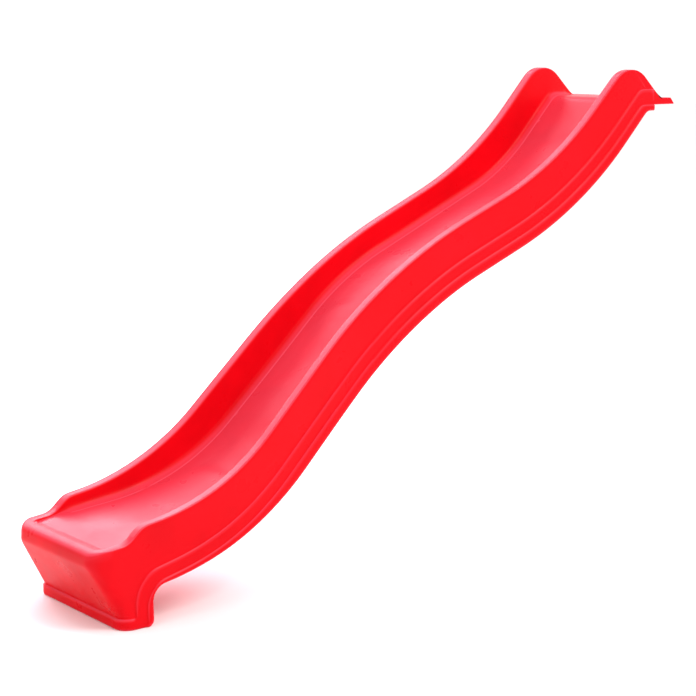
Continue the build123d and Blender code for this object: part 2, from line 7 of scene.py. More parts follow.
from math import atan2, cos, hypot, pi, radians, sin, tan

import bpy
import numpy as np
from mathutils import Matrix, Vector


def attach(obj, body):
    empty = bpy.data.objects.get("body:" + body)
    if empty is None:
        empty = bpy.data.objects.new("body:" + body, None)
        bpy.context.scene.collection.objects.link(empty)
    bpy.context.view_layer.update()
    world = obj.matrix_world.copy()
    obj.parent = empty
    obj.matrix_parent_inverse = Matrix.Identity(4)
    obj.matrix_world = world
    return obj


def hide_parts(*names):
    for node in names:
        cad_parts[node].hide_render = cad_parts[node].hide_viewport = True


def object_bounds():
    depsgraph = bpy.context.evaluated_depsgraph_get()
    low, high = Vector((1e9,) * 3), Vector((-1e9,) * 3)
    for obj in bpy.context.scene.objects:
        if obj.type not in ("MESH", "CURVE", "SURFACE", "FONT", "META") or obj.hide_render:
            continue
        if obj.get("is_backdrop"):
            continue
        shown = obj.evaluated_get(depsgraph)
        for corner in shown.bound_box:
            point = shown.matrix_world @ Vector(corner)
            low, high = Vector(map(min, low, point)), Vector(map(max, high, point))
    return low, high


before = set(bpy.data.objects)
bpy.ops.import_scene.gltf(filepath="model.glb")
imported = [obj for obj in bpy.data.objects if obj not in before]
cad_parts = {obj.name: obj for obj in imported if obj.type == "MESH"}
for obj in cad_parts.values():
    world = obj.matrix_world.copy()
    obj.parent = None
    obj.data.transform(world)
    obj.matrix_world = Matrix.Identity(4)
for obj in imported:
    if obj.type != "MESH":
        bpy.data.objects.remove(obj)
CAD_LOW, CAD_HIGH = (list(corner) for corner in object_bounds())

bl_info = {
    "name": "Wave slide",
    "version": (1, 0, 0),
    "blender": (4, 5, 0),
    "location": "View3D > Sidebar > Wave slide",
    "description": "Builds a moulded wave slide and a studio round it",
    "category": "Object",
}

MM = 0.001

# ---------------------------------------------------------------- sizes of the chute
RUN = (CAD_HIGH[0] - CAD_LOW[0]) / MM  # nose to the lip's rear edge
PLATFORM = 1500.0  # lip's underside
LIP_TOP = PLATFORM + 24.0
LIP_BEVEL = 21.0
FLANGE_END = RUN - 118.0  # where the side walls' lower part stops
RIM_WIDTH = 38.0
NOSE_CENTRE = 68.0  # centre of the nose's corner arcs, from the nose
NOSE_FLAT = 182.0  # half length of the nose's straight front
FOOT_CENTRE = 132.0
FOOT_FLAT = 208.0
SIDE_DEPTH = 193.0  # rim top to the flange's lower edge
PAN_DEPTH = 185.0
LEDGE_DEPTHS = (112.0, 154.0)
NOSE_BEAD = 38.0  # width of the rounded bead along the nose
NOSE_TOP = 252.0
FOOT_DRAFT = 0.035  # how much wider the foot is at the ground than at the nose
END_HALF_WIDTH = 240.0
WAIST_HALF_WIDTH = 213.0
PLAN_RADIUS = 4000.0
PLAN = (  # distance from the nose, half width, radius of the bend there
    (0, END_HALF_WIDTH, 0),
    (480, END_HALF_WIDTH, PLAN_RADIUS),
    (1000, WAIST_HALF_WIDTH, PLAN_RADIUS),
    (1480, WAIST_HALF_WIDTH, PLAN_RADIUS),
    (2240, END_HALF_WIDTH, PLAN_RADIUS),
    (RUN, END_HALF_WIDTH, 0),
)
WAVE_START = (195.0, 313.0)
WAVE_CORNERS = ((478.0, 353.0, 810.0), (1151.0, 987.0, 1936.0), (1915.0, 1301.0, 1300.0))
WAVE_END = (2216.0, 1606.0)
NOSE_RIM = (30.0, 253.0)  # where the rim's line starts on the bead
KINK_START = (122.0, 262.0)  # where the side walls begin to rise
KINK_TOP = 176.0
KINK_RADIUS = 72.0
HUMP_TOP = PLATFORM + 128.0
HUMP_BACK = RUN - 191.0
HUMP_RADIUS = 103.0
HEEL = RUN - 76.0  # where the hump's rear slope meets the lip
HEEL_RADIUS = 22.0
BED_FOOT = (150.0, 262.0)  # where the bed leaves the nose
BED_FOOT_SLOPE = radians(5.5)
BED_DEPTHS = (108.0, 90.0, 122.0)  # rim to bed along the steep, gentle and upper legs
BED_RADII = (760, 1130, 850)
BED_DISH = 4.5
BED_STEPS = ((620, 6.0), (940, 5.0), (1190, 5.0), (2150, 4.0))  # distance from the nose and drop
FOOT_BACK = 197.0
SOLE_RADIUS = 22.0
LEDGE_WIDTH = 5.0  # how far each ledge stands out
LEDGE_PROFILE = ((-3.0, 0.0), (-1.0, 0.8), (0.9, 4.2), (3.0, 5.0))  # down the ledge, and out from the wall
BED_FRONT = 66.0  # where the bed meets the nose's bead
COVE_REACH = 14.0
COVE_RISE = 2.5
BEAD_INNER = (46.0, 251.0)
BEAD_RADIUS = 30.0
BASE_FRONT = 84.5  # front of the foot's base, from the nose

# ---------------------------------------------------------------- recesses in the lip
CUP_PLACES = (-125.0, 0.0, 125.0)
CUP_BACK = 58.0  # from the lip's rear edge
CUP_DEPTH = 13.0
DISH_RADIUS = 18.0
DISH_DEPTH = 4.5
MOUTH_FLARE = 1.2
CUTTER_SPARE = 9.0  # how far a cutter stands over the lip

# ---------------------------------------------------------------- stations along the chute
FOOT_STEPS, WAVE_STEPS, FLANGE_STEPS, LIP_STEPS = 52, 126, 14, 46
CORNER_STEPS = 14
FRONT_STEPS = 14
FOOT_REACH = 420.0  # rim from here on runs beside the ledges
HUMP_START = 2215.0
HUMP_MIDDLE = 2290.0
LIP_EDGE = RUN - LIP_BEVEL


# ---------------------------------------------------------------- lines in the side view
def rounded(corners, arc_steps=28, line_step=12.0):
    """Points along straight stretches joined by arcs, from corners with a radius each."""
    points = [np.array(corners[0][:2], float)]
    for before, corner, after in zip(corners, corners[1:], corners[2:]):
        here = np.array(corner[:2], float)
        into = here - np.array(before[:2], float)
        out = np.array(after[:2], float) - here
        into, out = into / np.hypot(*into), out / np.hypot(*out)
        turn = atan2(into[0] * out[1] - into[1] * out[0], float(into @ out))
        radius = corner[2]
        if radius <= 0 or abs(turn) < 1e-6:
            points.append(here)
            continue
        reach = radius * tan(abs(turn) / 2)
        side = np.array((-into[1], into[0])) * (1 if turn > 0 else -1)
        start = here - into * reach
        centre = start + side * radius
        arm = start - centre
        for k in range(arc_steps + 1):
            a = turn * k / arc_steps
            swung = (arm[0] * cos(a) - arm[1] * sin(a), arm[0] * sin(a) + arm[1] * cos(a))
            points.append(centre + np.array(swung))
    points.append(np.array(corners[-1][:2], float))
    filled = [points[0]]
    for a, b in zip(points, points[1:]):
        length = hypot(*(b - a))
        if length < 1e-6:
            continue
        count = max(int(length / line_step), 1)
        filled += [a + (b - a) * (k + 1) / count for k in range(count)]
    return np.array(filled)


class Line:
    """A line in the side view that can be read by place along it or by distance from the nose."""

    def __init__(self, corners, turn=-1e9):
        self.points = rounded(corners)
        steps = np.hypot(*np.diff(self.points, axis=0).T)
        self.along = np.concatenate(([0.0], np.cumsum(steps)))
        self.slope = np.gradient(self.points, self.along, axis=0)
        self.tail = self.points[:, 0] > turn

    def height(self, x):
        return np.interp(x, self.points[self.tail, 0], self.points[self.tail, 1])

    def place(self, x):
        return np.interp(x, self.points[self.tail, 0], self.along[self.tail])

    def read(self, along, deeper=0.0):
        """Points at places along the line, moved out by deeper on its lower side."""
        x, z = (np.interp(along, self.along, self.points[:, k]) for k in (0, 1))
        tx, tz = (np.interp(along, self.along, self.slope[:, k]) for k in (0, 1))
        size = np.hypot(tx, tz)
        return x + deeper * tz / size, z - deeper * tx / size


def wave_leg(number, depth=0.0):
    """A straight leg of the wave, taken down square to itself: a point on it and its direction."""
    ends = [WAVE_START] + [c[:2] for c in WAVE_CORNERS] + [WAVE_END]
    (x0, z0), (x1, z1) = ends[number], ends[number + 1]
    slope = atan2(z1 - z0, x1 - x0)
    return (x0 + depth * sin(slope), z0 - depth * cos(slope)), slope


def meet(line_a, line_b):
    """The point where two straight lines cross."""
    ((xa, za), slope_a), ((xb, zb), slope_b) = line_a, line_b
    along = ((xb - xa) * sin(slope_b) - (zb - za) * cos(slope_b)) / sin(slope_b - slope_a)
    return (xa + along * cos(slope_a), za + along * sin(slope_a))


def wave_corners(depth):
    """Corners of a line beside the rim, with their radii."""
    corners = []
    for k, (_, _, radius) in enumerate(WAVE_CORNERS):
        turns_up = wave_leg(k + 1)[1] > wave_leg(k)[1]
        moved_radius = radius + (depth if turns_up else -depth)
        corners.append((*meet(wave_leg(k, depth), wave_leg(k + 1, depth)), moved_radius))
    return corners


def level(height):
    """A level line for meet."""
    return (0.0, height), 0.0


def upright(x):
    """An upright line for meet."""
    return (x, 0.0), pi / 2


def rim_line():
    """The rim's top: nose, kink, wave, hump and lip."""
    return Line(
        [
            (*NOSE_RIM, 0),
            (*KINK_START, KINK_RADIUS),
            (*meet(wave_leg(0), upright(KINK_TOP)), KINK_RADIUS),
            *wave_corners(0),
            (*meet(wave_leg(3), level(HUMP_TOP)), HUMP_RADIUS),
            (HUMP_BACK, HUMP_TOP, HUMP_RADIUS),
            (HEEL, LIP_TOP, HEEL_RADIUS),
            (LIP_EDGE, LIP_TOP, 0),
        ]
    )


def bed_line():
    """The middle of the bed: nose, wave and lip."""
    legs = [(BED_FOOT, BED_FOOT_SLOPE)]
    legs += [wave_leg(k + 1, depth) for k, depth in enumerate(BED_DEPTHS)]
    bends = [(*meet(a, b), r) for a, b, r in zip(legs, legs[1:], BED_RADII)]
    return Line(
        [
            (NOSE_BEAD, 244, 0),
            (*BED_FOOT, 120),
            *bends,
            (*meet(legs[3], level(LIP_TOP)), 60),
            (LIP_EDGE, LIP_TOP, 0),
        ]
    )


def ledge_line(start, turn, foot_height, radius, depth, end_height):
    """A ledge: along the foot's base, up the foot, then beside the rim to the flange's end."""
    base, bend = start[1], ((turn, foot_height), radians(12))
    steep, gentle = wave_corners(depth)[1:]
    corners = [
        (*start, 0),
        (turn, base, 5),
        (turn, foot_height, radius),
        (*meet(bend, wave_leg(1, depth)), 880),
        steep,
        gentle,
        (*meet(wave_leg(3, depth), level(end_height)), 40),
        (FLANGE_END, end_height, 0),
    ]
    return Line(corners, turn + 2)


def lower_line(depth, end_height, bend):
    """The flange's lower edge or the pan: along the sole, up the foot's back, then beside the rim."""
    corners = [
        (FOOT_CENTRE, 0, 0),
        (FOOT_BACK, 0, SOLE_RADIUS),
        (*meet(wave_leg(0, depth), upright(FOOT_BACK)), bend),
        *wave_corners(depth),
        (*meet(wave_leg(3, depth), level(end_height)), 40),
        (FLANGE_END, end_height, 0),
    ]
    return Line(corners, FOOT_BACK + 1)


def smooth(low, high, value):
    """Rises from 0 to 1 between two values, with level ends."""
    share = np.clip((np.asarray(value, float) - low) / (high - low), 0.0, 1.0)
    return share * share * (3 - 2 * share)


RIM = rim_line()
BED = bed_line()
WAVE = Line([(*WAVE_START, 0), *WAVE_CORNERS, (2500.0, 1606.0 + 284.0 * tan(wave_leg(3)[1]), 0)])
WIDTH = Line(PLAN)
LEDGES = (
    ledge_line((FOOT_CENTRE, 34.0), 137.0, 158.0, 105.0, LEDGE_DEPTHS[0], PLATFORM + 56.0),
    ledge_line((FOOT_CENTRE, 12.0), 173.0, 124.0, 90.0, LEDGE_DEPTHS[1], PLATFORM),
)
LOWER = lower_line(SIDE_DEPTH, PLATFORM - 21.0, 52)
PAN = lower_line(PAN_DEPTH, PLATFORM - 14.0, 44)


def bed_height(x, y, edge):
    """The bed's surface: slightly dished, with soft cross steps where its panels meet."""
    dish = BED_DISH * smooth(120, 320, x) * (1 - smooth(2200, 2300, x))
    low = dish * (1 - np.clip(y / edge, 0, 1) ** 2)
    across = 1 - smooth(0.55, 0.95, y / edge)
    curved = x + 50 * (y / edge) ** 2
    steps = 0.0
    for place, drop in BED_STEPS:
        fall = smooth(place - 22, place + 22, curved)
        rise = smooth(place + 60, place + 260, curved)
        steps = steps + drop * (fall - rise)
    return BED.height(x) - low - steps * across * smooth(150, 300, x)


# ---------------------------------------------------------------- rows of the side walls
def upper_places():
    """Distances from the nose of the stations on the rim and the bed."""
    kink = np.linspace(NOSE_CENTRE, 205.0, 33)[:-1]
    foot = np.linspace(205.0, FOOT_REACH, FOOT_STEPS - 31)[:-1]
    wave = np.linspace(FOOT_REACH, HUMP_START, WAVE_STEPS + 1)[:-1]
    hump = np.linspace(HUMP_START, HUMP_MIDDLE, FLANGE_STEPS)
    lip = np.linspace(HUMP_MIDDLE, LIP_EDGE, LIP_STEPS + 1)[1:]
    return np.concatenate((kink, foot, wave, hump, lip))


def lower_places(line, depth):
    """Places along a lower line, one for each station up to the flange's end."""
    x = np.linspace(FOOT_REACH, HUMP_START, WAVE_STEPS + 1)
    slope = np.arctan(np.gradient(WAVE.height(x), x))
    beside = line.place(x + depth * np.sin(slope))
    foot = np.linspace(0.0, beside[0], FOOT_STEPS + 1)[:-1]
    hump = np.linspace(beside[-1], line.place(FLANGE_END - 0.5), FLANGE_STEPS)
    return np.concatenate((foot, beside[:-1], hump))


def half_width(x):
    """The chute's half width at a distance from the nose."""
    return WIDTH.height(x)


def bevel_place(z):
    """Distance from the nose of the lip's slanted rear edge."""
    return LIP_EDGE + LIP_BEVEL * (LIP_TOP - z) / (LIP_TOP - PLATFORM)


def lower_row(line, depth, deeper, step, lip_height, lip_inset):
    """A row on or under a ledge, from the foot to the lip's rear edge.

    step holds how far it stands out from the wall, in front of the second ledge's turn and past it.
    """
    x, z = line.read(lower_places(line, depth), deeper)
    second = smooth(170, 177, x) if line is not LEDGES[0] else 0.0
    y = half_width(x) + step[0] + step[1] * second
    share = np.linspace(0, 1, LIP_STEPS)
    lip_x = FLANGE_END + 0.5 + share * (bevel_place(lip_height) - FLANGE_END - 0.5)
    lip_y = half_width(lip_x) - lip_inset
    return np.stack(
        (
            np.concatenate((x, lip_x)),
            np.concatenate((y, lip_y)),
            np.concatenate((z, np.full(LIP_STEPS, lip_height))),
        ),
        axis=1,
    )


def between(first, last, count):
    """Rows spread evenly between two rows."""
    return [first + (last - first) * (k + 1) / (count + 1) for k in range(count)]


def front_between(first, last, count):
    """Places on the nose's front spread evenly between two places."""
    a, b = np.array(first, float), np.array(last, float)
    return [tuple(a + (b - a) * (k + 1) / (count + 1)) for k in range(count)]


BED_SPREAD = 3  # columns of the bed outside the nose's straight front
SOLE_SPREAD = 3
FRONT_WALL = ((0, 214), (0.3, 207), (2.2, 201), (6.2, 194), (19.5, 170), (42.8, 126), (68.8, 77))


def wall_rows():
    """Side rows from the bed out over the rim and down to the sole, and where each passes the nose."""
    x = upper_places()
    w, rim, bed = half_width(x), RIM.height(x), BED.height(x)
    rise = np.maximum(rim - bed, 0.0)
    inner = w - RIM_WIDTH
    base = inner - 7 * smooth(0, 120, rise)
    fillet = np.minimum(30.0, 0.55 * rise) + 0.01
    edge = base - fillet
    soft_in = np.minimum(6.0, 0.4 * rise) + 0.01
    soft_out = 3.8 - 1.0 * smooth(RUN - 130, RUN - 80, x)
    groove = 1.3 * np.clip(rise / 20, 0, 1)
    rows, fronts = [], []

    def put(y, z, front):
        rows.append(np.stack((x, y, z), axis=1))
        fronts.append(front)

    centre_line = inner * NOSE_FLAT / 205.0
    for k in range(BED_SPREAD):
        y = centre_line + (edge - centre_line) * k / BED_SPREAD
        reach = NOSE_CENTRE - (NOSE_CENTRE - BED_FRONT) * k / BED_SPREAD
        put(y, bed_height(x, y, edge), (reach, None))
    for k in range(7):
        a = pi / 2 * k / 6
        front = (BED_FRONT - COVE_REACH * sin(a), BED.height(BED_FRONT) + COVE_RISE * (1 - cos(a)))
        put(edge + fillet * sin(a), bed + fillet * (1 - cos(a)), front)
    top_of_wall = np.stack((x, inner, rim - soft_in), axis=1)
    rows += between(rows[-1], top_of_wall, 4)
    cove_end = (BED_FRONT - COVE_REACH, BED.height(BED_FRONT) + COVE_RISE)
    fronts += front_between(cove_end, BEAD_INNER, 4)
    for k in range(5):
        a = pi / 2 * k / 4
        front = (BEAD_INNER[0] - 8 * (1 - cos(a)), BEAD_INNER[1] + 1.6 * sin(a))
        put(inner + soft_in * (1 - cos(a)), rim - soft_in * (1 - sin(a)), front)
    groove_rows = (
        (7.4, 0, (36.5, 252.8)),
        (6.4, 1, (35, 252.8)),
        (5.4, 1, (33.6, 252.7)),
        (4.4, 0, (32, 252.5)),
    )
    for inset, share, front in groove_rows:
        put(w - inset, rim - groove * share, front)
    for k in range(7):
        a = pi / 2 * k / 6
        front = (BEAD_RADIUS * (1 - sin(a)), NOSE_TOP - BEAD_RADIUS + BEAD_RADIUS * cos(a))
        put(w - soft_out * (1 - sin(a)), rim - soft_out * (1 - cos(a)), front)

    upper = [
        lower_row(LEDGES[0], LEDGE_DEPTHS[0], deeper, (out, 0), PLATFORM + height, 0)
        for (deeper, out), height in zip(LEDGE_PROFILE, (13.0, 12.5, 12.0, 11.5))
    ]
    lower = [
        lower_row(LEDGES[1], LEDGE_DEPTHS[1], deeper, (LEDGE_WIDTH, out), PLATFORM + height, 0)
        for (deeper, out), height in zip(LEDGE_PROFILE, (8.5, 8.0, 7.5, 7.0))
    ]
    brim = [
        lower_row(LOWER, SIDE_DEPTH, -6.0, (5.0, LEDGE_WIDTH), PLATFORM + 4.0, 0.0),
        lower_row(LOWER, SIDE_DEPTH, -3.0, (4.2, LEDGE_WIDTH), PLATFORM + 2.0, 0.5),
        lower_row(LOWER, SIDE_DEPTH, -0.8, (2.0, LEDGE_WIDTH), PLATFORM + 0.5, 1.8),
        lower_row(LOWER, SIDE_DEPTH, 0.0, (-1.0, LEDGE_WIDTH), PLATFORM, 4.5),
        lower_row(LOWER, SIDE_DEPTH, 0.0, (-6.0, LEDGE_WIDTH), PLATFORM, 8.0),
        lower_row(PAN, PAN_DEPTH, 0.0, (-9.0, LEDGE_WIDTH), PLATFORM, 10.0),
    ]
    rows += between(rows[-1], upper[0], len(FRONT_WALL)) + upper
    fronts += list(FRONT_WALL) + [(90, 37), (89, 34.9), (86, 33.1), (BASE_FRONT, 31)]
    rows += between(upper[-1], lower[0], 3) + lower
    fronts += front_between((BASE_FRONT, 31), (BASE_FRONT, 15), 3)
    fronts += [(BASE_FRONT, height) for height in (15, 13, 11, 9)]
    rows += between(lower[-1], brim[0], 2) + brim
    fronts += front_between((BASE_FRONT, 9), (BASE_FRONT, 7), 2)
    fronts += [(BASE_FRONT, 7), (85.5, 3), (88, 0.8), (91, 0), (96, 0), (99, 0)]
    last = rows[-1]
    sole_line = last.copy()
    sole_line[:, 1] = FOOT_FLAT * last[:, 1] / last[0, 1]
    rows += between(last, sole_line, SOLE_SPREAD - 1) + [sole_line]
    fronts += front_between((99, 0), (FOOT_CENTRE, 0), SOLE_SPREAD - 1) + [(FOOT_CENTRE, 0)]
    for row in rows:
        low = np.clip((NOSE_TOP - row[:, 2]) / NOSE_TOP, 0, 1) * (1 - smooth(180, 420, row[:, 0]))
        row[:, 1] *= 1 + FOOT_DRAFT * low
        row[-1, 0] = bevel_place(row[-1, 2])
    return np.array(rows), fronts, edge


def round_nose(rows, fronts, edge):
    """The rows carried on round the nose's corner and along its front to the middle."""
    paths = []
    angles = np.linspace(0, pi / 2, CORNER_STEPS + 1)[1:]
    share = np.linspace(0, 1, FRONT_STEPS + 1)[1:]
    for row, (front_x, front_z) in zip(rows, fronts):
        x0, y0, z0 = row[0]
        flat = NOSE_FLAT + (FOOT_FLAT - NOSE_FLAT) * (x0 - NOSE_CENTRE) / (FOOT_CENTRE - NOSE_CENTRE)
        x = np.concatenate((x0 - (x0 - front_x) * np.sin(angles), np.full(FRONT_STEPS, float(front_x))))
        y = np.concatenate((flat + (y0 - flat) * np.cos(angles), flat * (1 - share)))
        if front_z is None:
            z = bed_height(x, y, edge[0])
        else:
            blend = np.concatenate((np.sin(angles) ** 2, np.ones(FRONT_STEPS)))
            z = z0 + (front_z - z0) * blend
        nose = np.stack((x, y, z), axis=1)
        paths.append(np.concatenate((row[::-1], nose)))
    return np.array(paths)


# ---------------------------------------------------------------- meshes
def only(*things):
    """Selects these objects alone, the first one active."""
    bpy.ops.object.select_all(action="DESELECT")
    for thing in things:
        thing.select_set(True)
    bpy.context.view_layer.objects.active = things[0]


def sheet(name, points):
    """A grid whose corners are laid out on rows of points, given in millimetres from the nose."""
    rows, columns = points.shape[:2]
    bpy.ops.mesh.primitive_grid_add(x_subdivisions=columns - 1, y_subdivisions=rows - 1, size=1)
    grid = bpy.context.active_object
    grid.name = name
    place = points.reshape(-1, 3).astype(float).copy()
    place[:, 0] += CAD_LOW[0] / MM
    grid.data.vertices.foreach_set("co", (place * MM).ravel())
    return grid


def in_edit(thing, *steps):
    """Runs edit-mode steps on all of a mesh."""
    only(thing)
    bpy.ops.object.mode_set(mode="EDIT")
    bpy.ops.mesh.select_all(action="SELECT")
    for step in steps:
        step()
    bpy.ops.object.mode_set(mode="OBJECT")


def close_rear_edge():
    bpy.ops.mesh.select_all(action="DESELECT")
    bpy.ops.mesh.select_non_manifold()
    bpy.ops.mesh.edge_face_add()
    bpy.ops.mesh.select_all(action="SELECT")
    bpy.ops.mesh.normals_make_consistent(inside=False)


def apply(thing, kind, **settings):
    """Adds one modifier and applies it."""
    only(thing)
    modifier = thing.modifiers.new(kind.title(), kind)
    for key, value in settings.items():
        setattr(modifier, key, value)
    bpy.ops.object.modifier_apply(modifier=modifier.name)


def cut_round(chute, x, y, bottom, top, low_radius, high_radius):
    """Cuts a round or tapered hole with an upright axis into the chute."""
    bpy.ops.mesh.primitive_cone_add(
        vertices=56,
        radius1=low_radius * MM,
        radius2=high_radius * MM,
        depth=(top - bottom) * MM,
        location=((CAD_LOW[0] / MM + x) * MM, y * MM, (top + bottom) / 2 * MM),
    )
    cutter = bpy.context.active_object
    apply(chute, "BOOLEAN", object=cutter, operation="DIFFERENCE", solver="EXACT")
    bpy.data.objects.remove(cutter)


def sink(chute, x, y, depth, radius):
    """Cuts a round recess with a softened mouth into the lip's top."""
    over = MOUTH_FLARE / 2
    wide = radius + MOUTH_FLARE + over
    cut_round(chute, x, y, LIP_TOP - depth, LIP_TOP + CUTTER_SPARE, radius, radius)
    cut_round(chute, x, y, LIP_TOP - MOUTH_FLARE, LIP_TOP + over, radius - 0.001, wide)


# ---------------------------------------------------------------- materials
# Painted highlight: paler pink laid on convex edges where light glints off them.
PAINTED_EDGE_HIGHLIGHT = (1.0, 0.16, 0.24)
# Painted sheen: paler pink laid on upward-facing surfaces that catch the light from above.
PAINTED_TOP_SHEEN = (0.9, 0.16, 0.27)
BRIGHT_ZINC = (0.72, 0.72, 0.71)
DULL_ZINC = (0.52, 0.53, 0.55)


def new_material(name, colour, roughness):
    """A material with a Principled shader, its colour and roughness set."""
    material = bpy.data.materials.new(name)
    material.use_nodes = True
    shader = material.node_tree.nodes["Principled BSDF"]
    shader.inputs["Base Color"].default_value = (*colour, 1)
    shader.inputs["Roughness"].default_value = roughness
    return material, shader


def node(material, kind, inputs=None, **settings):
    """Adds a node with input values, or links where an input is given a socket."""
    made = material.node_tree.nodes.new(kind)
    for key, value in settings.items():
        setattr(made, key, value)
    for key, value in (inputs or {}).items():
        if isinstance(value, bpy.types.NodeSocket):
            material.node_tree.links.new(value, made.inputs[key])
        else:
            made.inputs[key].default_value = value
    return made


def link(material, start, end):
    """Joins two sockets."""
    material.node_tree.links.new(start, end)


def noise(material, scale, detail=2.0, roughness=0.5, distortion=0.0):
    """Noise that is fixed to the piece."""
    place = node(material, "ShaderNodeTexCoord")
    made = node(
        material,
        "ShaderNodeTexNoise",
        {
            "Vector": place.outputs["Object"],
            "Scale": scale,
            "Detail": detail,
            "Roughness": roughness,
            "Distortion": distortion,
        },
    )
    return made.outputs["Fac"]


def spread(material, value, low, high, to_low, to_high):
    """Stretches a value from one span to another."""
    made = node(
        material,
        "ShaderNodeMapRange",
        {"Value": value, "From Min": low, "From Max": high, "To Min": to_low, "To Max": to_high},
    )
    return made.outputs["Result"]


def mix_colour(material, share, first, second):
    """Blends two colours, each a socket or three numbers, by a share."""
    made = node(material, "ShaderNodeMix", data_type="RGBA")
    link(material, share, made.inputs[0])
    for socket, value in ((made.inputs[6], first), (made.inputs[7], second)):
        if isinstance(value, bpy.types.NodeSocket):
            link(material, value, socket)
        else:
            socket.default_value = (*value, 1)
    return made.outputs[2]


def bump(material, shader, layers):
    """Stacks bump layers, each a height, a strength and a depth in metres, onto the shader."""
    normal = None
    for height, strength, distance in layers:
        inputs = {"Height": height, "Strength": strength, "Distance": distance}
        made = node(material, "ShaderNodeBump", inputs)
        if normal:
            link(material, normal, made.inputs["Normal"])
        normal = made.outputs["Normal"]
    link(material, normal, shader.inputs["Normal"])


def chute_plastic(colour, roughness):
    """Moulded plastic: faint orange peel, soft sink marks, clouded colour, a painted highlight on convex
    edges and a painted sheen on upward-facing tops.
    """
    material, shader = new_material("chute_red_plastic", colour, roughness)
    clouds = spread(material, noise(material, 3.2, 3.0, 0.55, 0.4), 0.3, 0.7, 0.0, 1.0)
    deep = tuple(c * 0.88 for c in colour)
    pale = (min(colour[0] * 1.1, 1), colour[1] * 1.3, colour[2] * 1.3)
    body = mix_colour(material, clouds, deep, pale)
    geometry = node(material, "ShaderNodeNewGeometry")
    # Painted highlight: convex edges, found by pointiness, are tinted paler pink.
    edge_highlight = spread(material, geometry.outputs["Pointiness"], 0.51, 0.58, 0.0, 0.35)
    with_edge_highlight = mix_colour(material, edge_highlight, body, PAINTED_EDGE_HIGHLIGHT)
    # Painted sheen: surfaces facing upward are tinted paler pink.
    upward = node(material, "ShaderNodeSeparateXYZ", {"Vector": geometry.outputs["Normal"]}).outputs["Z"]
    with_top_sheen = mix_colour(material, spread(material, upward, 0.5, 0.72, 0.0, 0.2), with_edge_highlight, PAINTED_TOP_SHEEN)
    link(material, with_top_sheen, shader.inputs["Base Color"])
    haze = spread(material, noise(material, 9.0, 4.0, 0.6), 0.3, 0.75, roughness - 0.05, roughness + 0.1)
    link(material, haze, shader.inputs["Roughness"])
    shader.inputs["Specular IOR Level"].default_value = 0.07
    peel = noise(material, 240.0, 2.0)
    sink_marks = noise(material, 9.0, 2.0, 0.45)
    bump(material, shader, ((sink_marks, 0.25, 0.003), (peel, 0.05, 0.0003)))
    return material


def small_plastic(name, colour, roughness):
    """Plain moulded plastic with a fine grain."""
    material, shader = new_material(name, colour, roughness)
    clouds = noise(material, 60.0, 3.0)
    deep = tuple(c * 0.85 for c in colour)
    pale = tuple(min(c * 1.15, 1) for c in colour)
    tint = mix_colour(material, clouds, deep, pale)
    link(material, tint, shader.inputs["Base Color"])
    bump(material, shader, ((noise(material, 1400.0, 2.0), 0.15, 0.0002),))
    return material


def plated_steel(name):
    """Zinc-plated steel: bright, faintly clouded, with a turned grain."""
    material, shader = new_material(name, (0.62, 0.63, 0.64), 0.3)
    shader.inputs["Metallic"].default_value = 1.0
    clouds = noise(material, 220.0, 4.0, 0.6)
    tint = mix_colour(material, clouds, DULL_ZINC, BRIGHT_ZINC)
    link(material, tint, shader.inputs["Base Color"])
    link(material, spread(material, clouds, 0.3, 0.7, 0.22, 0.42), shader.inputs["Roughness"])
    bump(material, shader, ((noise(material, 1800.0, 2.0), 0.1, 0.0001),))
    return material


def dress(names, material):
    """Gives CAD nodes a material."""
    for name in names:
        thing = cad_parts[name]
        thing.data.materials.clear()
        thing.data.materials.append(material)


# ---------------------------------------------------------------- settings
class ChuteSettings(bpy.types.PropertyGroup):
    """Finish of the chute."""

    colour: bpy.props.FloatVectorProperty(
        name="Colour",
        description="Colour of the plastic",
        default=(0.66, 0.0015, 0.006),
        subtype="COLOR",
        min=0,
        max=1,
    )
    roughness: bpy.props.FloatProperty(
        name="Roughness",
        description="Roughness of the plastic",
        default=0.3,
        min=0,
        max=1,
        subtype="FACTOR",
    )
    cup_radius: bpy.props.FloatProperty(
        name="Cup radius",
        description="Radius of each recess for a lip screw",
        default=0.017,
        unit="LENGTH",
    )


class SmallPartSettings(bpy.types.PropertyGroup):
    """Finish of the fittings."""

    fitting_colour: bpy.props.FloatVectorProperty(
        name="Fitting colour",
        description="Colour of the water fittings",
        default=(0.02, 0.02, 0.022),
        subtype="COLOR",
        min=0,
        max=1,
    )


class StageSettings(bpy.types.PropertyGroup):
    """Floor, lights and camera."""

    floor_colour: bpy.props.FloatVectorProperty(
        name="Floor colour",
        description="Colour of the floor and backdrop",
        default=(0.93, 0.93, 0.93),
        subtype="COLOR",
        min=0,
        max=1,
    )
    lens: bpy.props.FloatProperty(name="Lens", description="Focal length in millimetres", default=90.5)
    key_power: bpy.props.FloatProperty(
        name="Key power", description="Power of the large key light", default=260.0, unit="POWER",
    )


